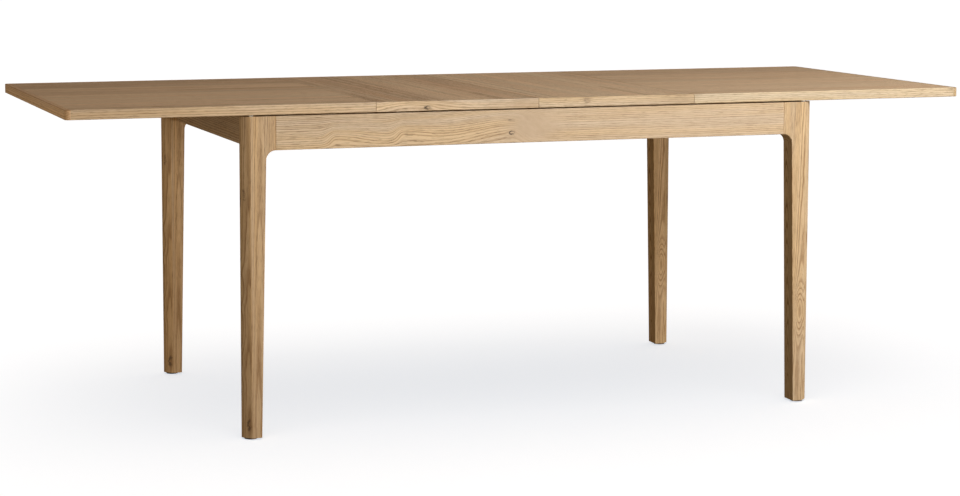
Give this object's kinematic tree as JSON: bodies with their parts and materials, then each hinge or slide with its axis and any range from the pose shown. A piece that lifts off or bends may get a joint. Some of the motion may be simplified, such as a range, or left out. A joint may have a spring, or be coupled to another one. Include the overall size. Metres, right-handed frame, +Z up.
{
  "type": "extending dining table",
  "caption": "Oak extending dining table with a sliding split top, loose leaves between the halves and round-nosed tapered legs.",
  "frame": {"origin": "on the floor under the middle of the top", "axes": "+X along the table, +Y across it to the back, +Z up"},
  "size_m": [2.18, 0.86, 0.75],
  "materials": {
    "oak_top": "matt oiled oak veneer, grain along the table",
    "oak_leaf": "matt oiled oak veneer, grain across the table",
    "oak_lipping": "matt oiled solid oak edge lipping",
    "oak_leg": "matt oiled solid oak, upright grain",
    "oak_rail": "matt oiled solid oak, grain along the rail",
    "beech": "planed and waxed beech",
    "beech_peg": "turned beech dowel",
    "zinc_steel": "zinc plated steel",
    "pale_nylon": "natural white nylon",
    "grey_nylon": "grey nylon glide"
  },
  "bodies": {
    "frame": {"apron_back": "oak_rail", "apron_front": "oak_rail", "corner_bolts": "zinc_steel", "corner_brace_back_left": "beech", "corner_brace_back_right": "beech", "corner_brace_front_left": "beech", "corner_brace_front_right": "beech", "corner_nuts": "zinc_steel", "corner_washers": "zinc_steel", "cross_rail_left": "beech", "cross_rail_right": "beech", "end_rail_left": "oak_rail", "end_rail_right": "oak_rail", "foot_glide_back_left": "grey_nylon", "foot_glide_back_right": "grey_nylon", "foot_glide_front_left": "grey_nylon", "foot_glide_front_right": "grey_nylon", "leg_back_left": "oak_leg", "leg_back_right": "oak_leg", "leg_front_left": "oak_leg", "leg_front_right": "oak_leg", "slide_pad_back_left": "pale_nylon", "slide_pad_back_right": "pale_nylon", "slide_pad_front_left": "pale_nylon", "slide_pad_front_right": "pale_nylon"},
    "left_half": {"batten_left": "beech", "bearer_left_back": "beech", "bearer_left_front": "beech", "bearer_screws_left": "zinc_steel", "short_screws_left": "zinc_steel", "stop_block_left_back": "beech", "stop_block_left_front": "beech", "top_left": "oak_top", "top_left_back_lip": "oak_lipping", "top_left_end_lip": "oak_lipping", "top_left_front_lip": "oak_lipping"},
    "right_half": {"batten_right": "beech", "bearer_right_back": "beech", "bearer_right_front": "beech", "bearer_screws_right": "zinc_steel", "short_screws_right": "zinc_steel", "stop_block_right_back": "beech", "stop_block_right_front": "beech", "top_right": "oak_top", "top_right_back_lip": "oak_lipping", "top_right_end_lip": "oak_lipping", "top_right_front_lip": "oak_lipping"},
    "left_leaf": {"leaf_left": "oak_leaf", "leaf_left_back_lip": "oak_lipping", "leaf_left_front_lip": "oak_lipping", "leaf_left_pegs": "beech_peg"},
    "right_leaf": {"leaf_right": "oak_leaf", "leaf_right_back_lip": "oak_lipping", "leaf_right_front_lip": "oak_lipping", "leaf_right_pegs": "beech_peg"}
  },
  "joints": [
    {"name": "left_half_slide", "type": "slide", "parent": "frame", "child": "left_half", "axis": [-1, 0, 0], "range_m": [0, 0.04]},
    {"name": "right_half_slide", "type": "slide", "parent": "frame", "child": "right_half", "axis": [1, 0, 0], "range_m": [0, 0.04]},
    {"name": "left_leaf_lift", "type": "slide", "parent": "left_half", "child": "left_leaf", "axis": [0, 0, 1], "range_m": [0, 0.25]},
    {"name": "right_leaf_lift", "type": "slide", "parent": "right_half", "child": "right_leaf", "axis": [0, 0, 1], "range_m": [0, 0.25]}
  ]
}
